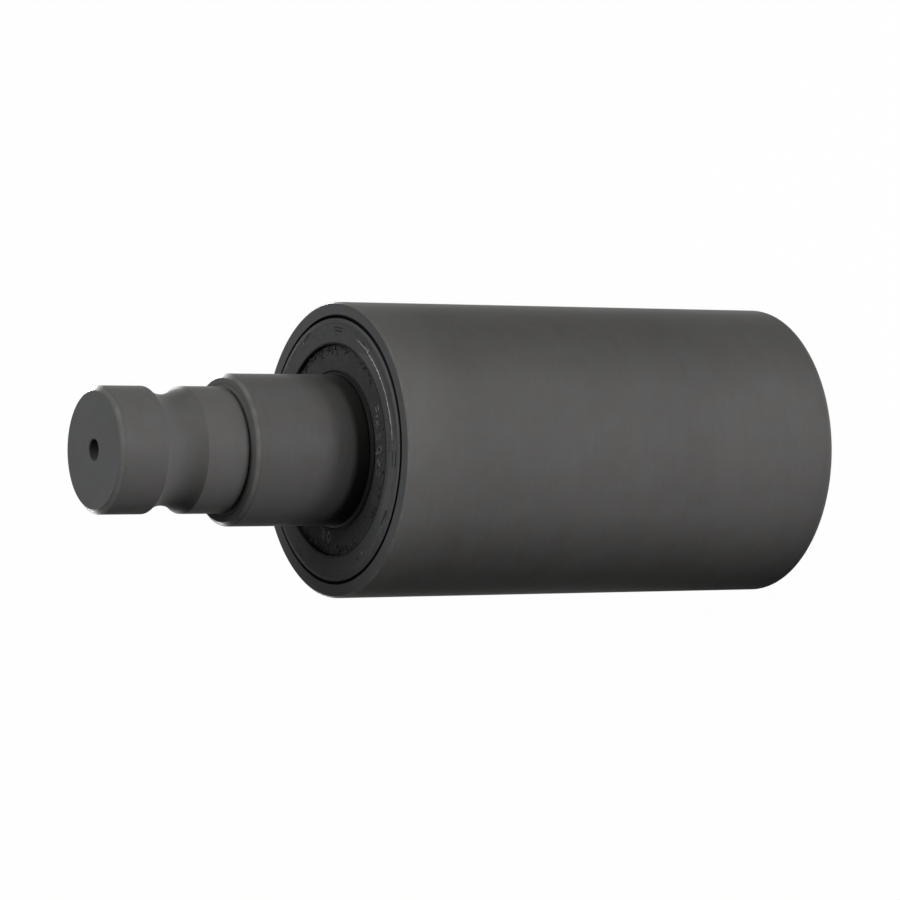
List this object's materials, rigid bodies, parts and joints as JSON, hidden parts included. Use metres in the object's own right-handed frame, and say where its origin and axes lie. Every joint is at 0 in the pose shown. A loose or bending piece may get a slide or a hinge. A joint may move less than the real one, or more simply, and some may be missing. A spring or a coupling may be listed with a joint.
{
  "type": "conveyor roller",
  "caption": "Cantilevered conveyor roller: a turned steel shell on two sealed ball bearings, carried by a stepped stub shaft with a radiused retaining groove.",
  "frame": {"origin": "centre of the rear end of the roller shell, on the surface it stands on", "axes": "+Z along the axis of rotation, from the rear end of the shell to the free end of the shaft; X and Y are square to it"},
  "size_m": [0.0888, 0.0888, 0.2323],
  "materials": {
    "oxide_shell": "satin black oxide on turned steel",
    "oxide_shaft": "satin black oxide on turned steel with fine feed lines",
    "oxide_ring": "satin black oxide on ground steel",
    "bearing_steel": "polished bearing steel",
    "plain_steel": "bright pressed steel",
    "spring_steel": "phosphated spring steel",
    "seal_rubber": "matt black moulded rubber"
  },
  "bodies": {
    "shaft_unit": {"shaft": "oxide_shaft", "spacer_sleeve": "plain_steel", "support_washer": "spring_steel", "shaft_circlip": "spring_steel", "front_inner_ring": "oxide_ring", "rear_inner_ring": "oxide_ring"},
    "roller_unit": {"roller_shell": "oxide_shell", "front_outer_ring": "oxide_ring", "rear_outer_ring": "oxide_ring", "front_seal_outboard": "seal_rubber", "front_seal_inboard": "seal_rubber", "rear_seal_outboard": "seal_rubber", "rear_seal_inboard": "seal_rubber", "bore_circlip": "spring_steel"},
    "front_ball_set": {"front_ball_1": "bearing_steel", "front_ball_2": "bearing_steel", "front_ball_3": "bearing_steel", "front_ball_4": "bearing_steel", "front_ball_5": "bearing_steel", "front_ball_6": "bearing_steel", "front_ball_7": "bearing_steel", "front_ball_8": "bearing_steel", "front_ball_9": "bearing_steel", "front_cage_upper": "plain_steel", "front_cage_lower": "plain_steel", "front_cage_rivets": "plain_steel"},
    "rear_ball_set": {"rear_ball_1": "bearing_steel", "rear_ball_2": "bearing_steel", "rear_ball_3": "bearing_steel", "rear_ball_4": "bearing_steel", "rear_ball_5": "bearing_steel", "rear_ball_6": "bearing_steel", "rear_ball_7": "bearing_steel", "rear_ball_8": "bearing_steel", "rear_ball_9": "bearing_steel", "rear_cage_upper": "plain_steel", "rear_cage_lower": "plain_steel", "rear_cage_rivets": "plain_steel"}
  },
  "joints": [
    {"name": "roller_spin", "type": "hinge", "parent": "shaft_unit", "child": "roller_unit", "pos_m": [0, 0, 0.0762], "axis": [0, 0, 1], "continuous": true},
    {"name": "front_balls_orbit", "type": "hinge", "parent": "shaft_unit", "child": "front_ball_set", "pos_m": [0, 0, 0.1443], "axis": [0, 0, 1], "continuous": true},
    {"name": "rear_balls_orbit", "type": "hinge", "parent": "shaft_unit", "child": "rear_ball_set", "pos_m": [0, 0, 0.0155], "axis": [0, 0, 1], "continuous": true}
  ],
  "couplings": [
    {"joint": "front_balls_orbit", "follows": "roller_spin", "ratio": 0.60374},
    {"joint": "rear_balls_orbit", "follows": "roller_spin", "ratio": 0.60374}
  ]
}
